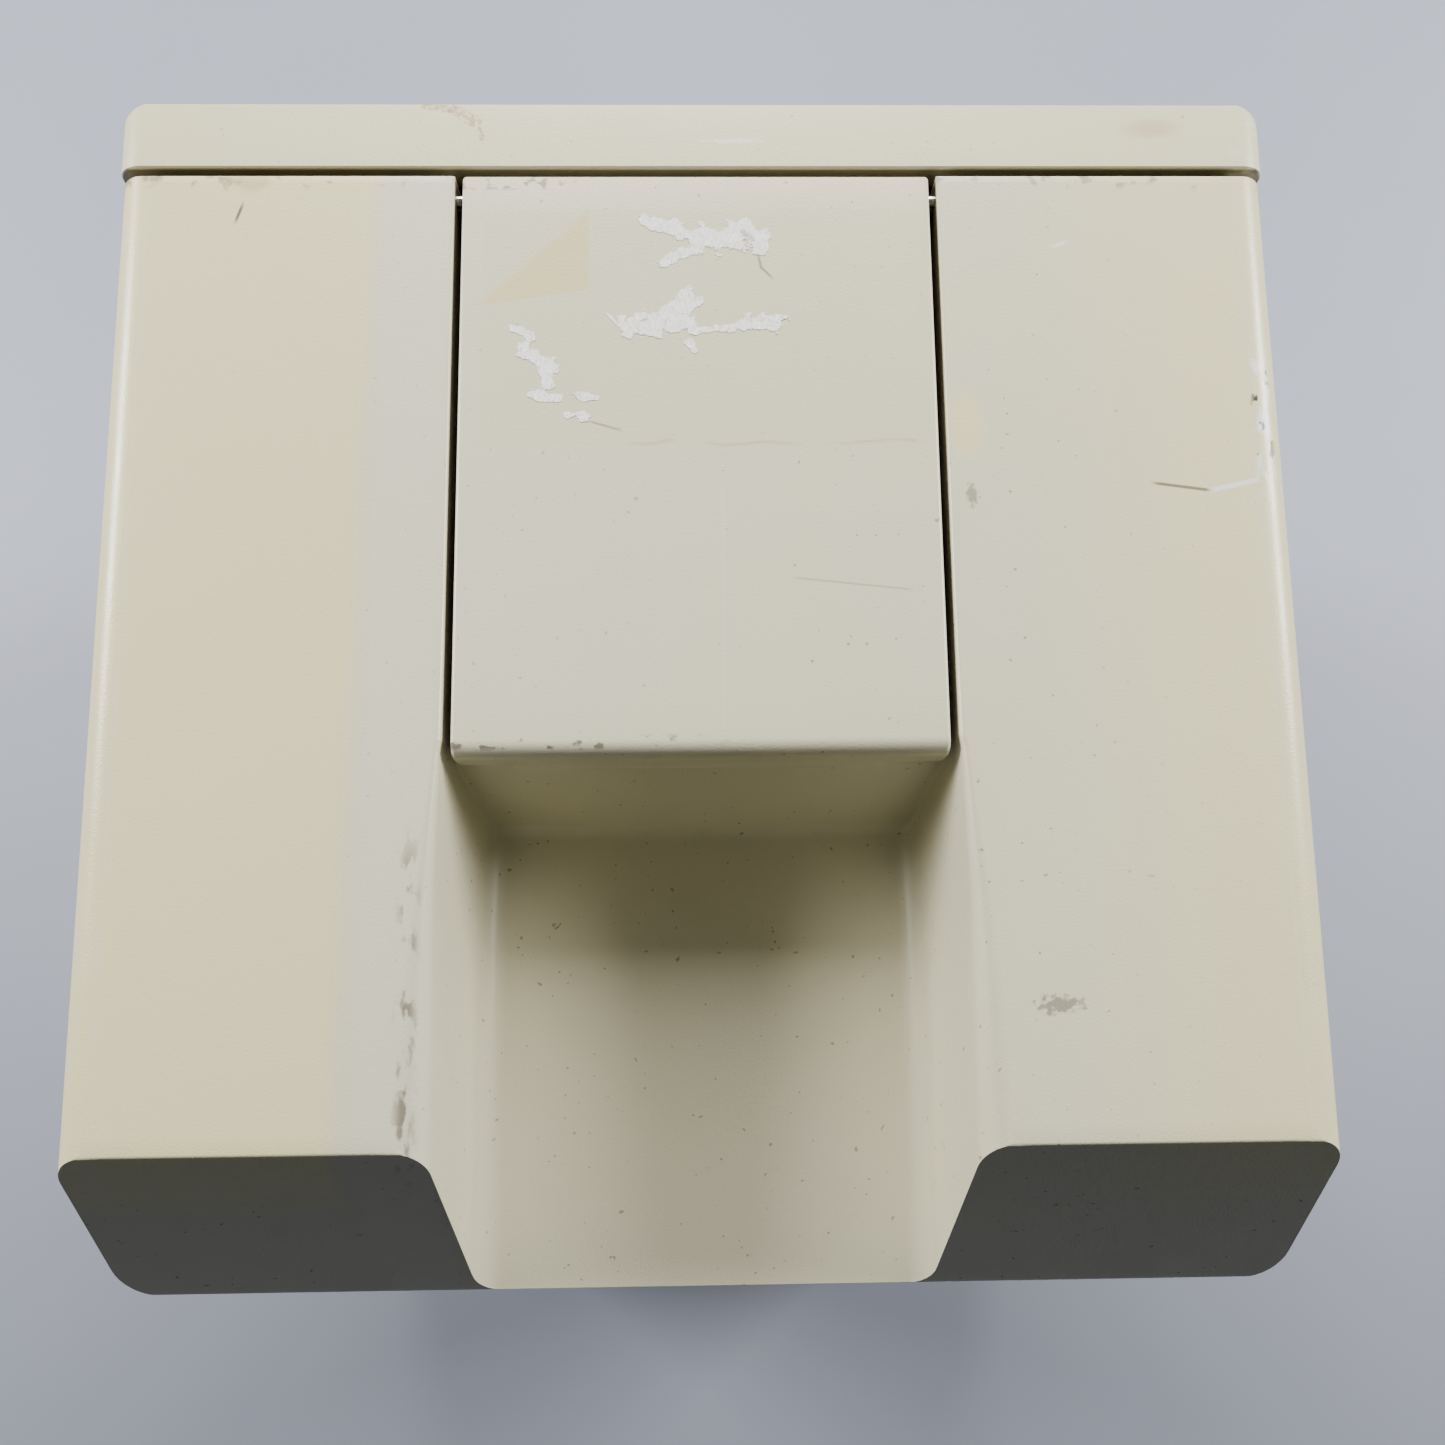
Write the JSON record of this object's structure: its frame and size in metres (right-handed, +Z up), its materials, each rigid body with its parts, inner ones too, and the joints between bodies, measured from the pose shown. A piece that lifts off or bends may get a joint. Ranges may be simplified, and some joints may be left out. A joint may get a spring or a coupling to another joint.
{
  "type": "desktop computer tower",
  "caption": "Square beige desktop computer tower with sloped front shoulders, an open channel down the middle of the top and a hinged lid over upward-facing drive bays.",
  "frame": {"origin": "middle of the footprint on the table, under the rubber feet", "axes": "+X to the right seen from the front, +Y towards the back, +Z up; the front with the power button faces -Y"},
  "size_m": [0.3818, 0.3874, 0.5],
  "materials": {
    "hood": "satin moulded plastic, yellowed",
    "lid": "satin moulded plastic, yellowed",
    "front_panel": "satin moulded plastic, yellowed",
    "rear_bezel": "satin moulded plastic, yellowed",
    "power_button": "satin moulded plastic, yellowed",
    "reset_button": "satin moulded plastic, yellowed",
    "left_side_panel": "satin paint",
    "right_side_panel": "satin paint",
    "optical_drive": "matte",
    "floppy_frame": "matte",
    "floppy_drive": "matte",
    "optical_eject_button": "matte",
    "floppy_eject_button": "matte",
    "bay_cover_1": "matte",
    "bay_cover_2": "matte",
    "optical_flap": "satin",
    "power_rocker": "satin",
    "power_inlet": "satin",
    "power_supply_fan_frame": "satin",
    "power_supply_fan_rotor": "satin",
    "rear_fan_frame": "satin",
    "rear_fan_rotor": "satin",
    "foot_front_left": "matte",
    "foot_front_right": "matte",
    "foot_rear_left": "matte",
    "foot_rear_right": "matte",
    "lid_bumper_left": "matte",
    "lid_bumper_right": "matte",
    "base_tray": "zinc plated",
    "cross_plate": "zinc plated",
    "board_plate": "zinc plated",
    "rear_plate": "zinc plated",
    "drive_cage": "zinc plated",
    "cage_rail_left": "zinc plated",
    "cage_rail_right": "zinc plated",
    "power_supply_case": "zinc plated",
    "hard_drive_bracket": "zinc plated",
    "blank_slot_bracket": "zinc plated",
    "rear_screw_1": "bright",
    "rear_screw_2": "bright",
    "rear_screw_3": "bright",
    "rear_screw_4": "bright",
    "lid_hinge_pin": "bright",
    "key_lock": "bright",
    "heat_sink": "cast",
    "hard_drive": "cast",
    "main_board": "solder mask",
    "expansion_card_1": "solder mask",
    "expansion_card_2": "solder mask",
    "memory_module_1": "solder mask",
    "memory_module_2": "solder mask",
    "power_supply_board": "solder mask",
    "switch_board": "solder mask",
    "processor": "matte",
    "speaker": "matte",
    "power_harness": "cable jacket",
    "drive_ribbon": "cable jacket",
    "power_lamp_lens": "clear tinted",
    "drive_lamp_lens": "clear tinted"
  },
  "bodies": {
    "case": {"hood": "hood", "front_panel": "front_panel", "rear_bezel": "rear_bezel", "left_side_panel": "left_side_panel", "right_side_panel": "right_side_panel", "optical_drive": "optical_drive", "floppy_frame": "floppy_frame", "floppy_drive": "floppy_drive", "bay_cover_1": "bay_cover_1", "bay_cover_2": "bay_cover_2", "power_inlet": "power_inlet", "power_supply_fan_frame": "power_supply_fan_frame", "rear_fan_frame": "rear_fan_frame", "foot_front_left": "foot_front_left", "foot_front_right": "foot_front_right", "foot_rear_left": "foot_rear_left", "foot_rear_right": "foot_rear_right", "base_tray": "base_tray", "cross_plate": "cross_plate", "board_plate": "board_plate", "rear_plate": "rear_plate", "drive_cage": "drive_cage", "cage_rail_left": "cage_rail_left", "cage_rail_right": "cage_rail_right", "power_supply_case": "power_supply_case", "hard_drive_bracket": "hard_drive_bracket", "blank_slot_bracket": "blank_slot_bracket", "rear_screw_1": "rear_screw_1", "rear_screw_2": "rear_screw_2", "rear_screw_3": "rear_screw_3", "rear_screw_4": "rear_screw_4", "lid_hinge_pin": "lid_hinge_pin", "heat_sink": "heat_sink", "hard_drive": "hard_drive", "main_board": "main_board", "expansion_card_1": "expansion_card_1", "expansion_card_2": "expansion_card_2", "memory_module_1": "memory_module_1", "memory_module_2": "memory_module_2", "power_supply_board": "power_supply_board", "switch_board": "switch_board", "processor": "processor", "speaker": "speaker", "power_harness": "power_harness", "drive_ribbon": "drive_ribbon", "power_lamp_lens": "power_lamp_lens", "drive_lamp_lens": "drive_lamp_lens"},
    "lid": {"lid": "lid", "lid_bumper_left": "lid_bumper_left", "lid_bumper_right": "lid_bumper_right"},
    "optical_flap": {"optical_flap": "optical_flap"},
    "optical_eject_button": {"optical_eject_button": "optical_eject_button"},
    "floppy_eject_button": {"floppy_eject_button": "floppy_eject_button"},
    "power_button": {"power_button": "power_button"},
    "reset_button": {"reset_button": "reset_button"},
    "key_lock": {"key_lock": "key_lock"},
    "power_rocker": {"power_rocker": "power_rocker"},
    "power_supply_fan_rotor": {"power_supply_fan_rotor": "power_supply_fan_rotor"},
    "rear_fan_rotor": {"rear_fan_rotor": "rear_fan_rotor"}
  },
  "joints": [
    {"name": "lid_hinge", "type": "hinge", "parent": "case", "child": "lid", "pos_m": [0, 0.16145, 0.494], "axis": [-1, 0, 0], "range_deg": [0, 100]},
    {"name": "optical_flap_hinge", "type": "hinge", "parent": "case", "child": "optical_flap", "pos_m": [0, -0.00715, 0.4531], "axis": [-1, 0, 0], "range_deg": [0, 80], "stiffness_Nm_per_rad": 0.002, "springref_deg": -11.46},
    {"name": "optical_eject_press", "type": "slide", "parent": "case", "child": "optical_eject_button", "axis": [0, 0, -1], "range_m": [0, 0.0012], "stiffness_N_per_m": 150, "springref_m": -0.001},
    {"name": "floppy_eject_press", "type": "slide", "parent": "case", "child": "floppy_eject_button", "axis": [0, 0, -1], "range_m": [0, 0.003], "stiffness_N_per_m": 150, "springref_m": -0.001},
    {"name": "power_button_press", "type": "slide", "parent": "case", "child": "power_button", "axis": [0, 1, 0], "range_m": [0, 0.0025], "stiffness_N_per_m": 250, "springref_m": -0.001},
    {"name": "reset_button_press", "type": "slide", "parent": "case", "child": "reset_button", "axis": [0, 1, 0], "range_m": [0, 0.0025], "stiffness_N_per_m": 250, "springref_m": -0.001},
    {"name": "key_lock_turn", "type": "hinge", "parent": "case", "child": "key_lock", "pos_m": [-0.135, -0.19315, 0.3929], "axis": [0, 1, 0], "range_deg": [0, 90]},
    {"name": "power_rocker_tilt", "type": "hinge", "parent": "case", "child": "power_rocker", "pos_m": [-0.1395, 0.17845, 0.3135], "axis": [1, 0, 0], "range_deg": [-8, 8]},
    {"name": "power_supply_fan_spin", "type": "hinge", "parent": "case", "child": "power_supply_fan_rotor", "pos_m": [-0.1395, 0.16, 0.376], "axis": [0, 1, 0], "continuous": true},
    {"name": "rear_fan_spin", "type": "hinge", "parent": "case", "child": "rear_fan_rotor", "pos_m": [-0.11, 0.16, 0.13], "axis": [0, 1, 0], "continuous": true}
  ]
}
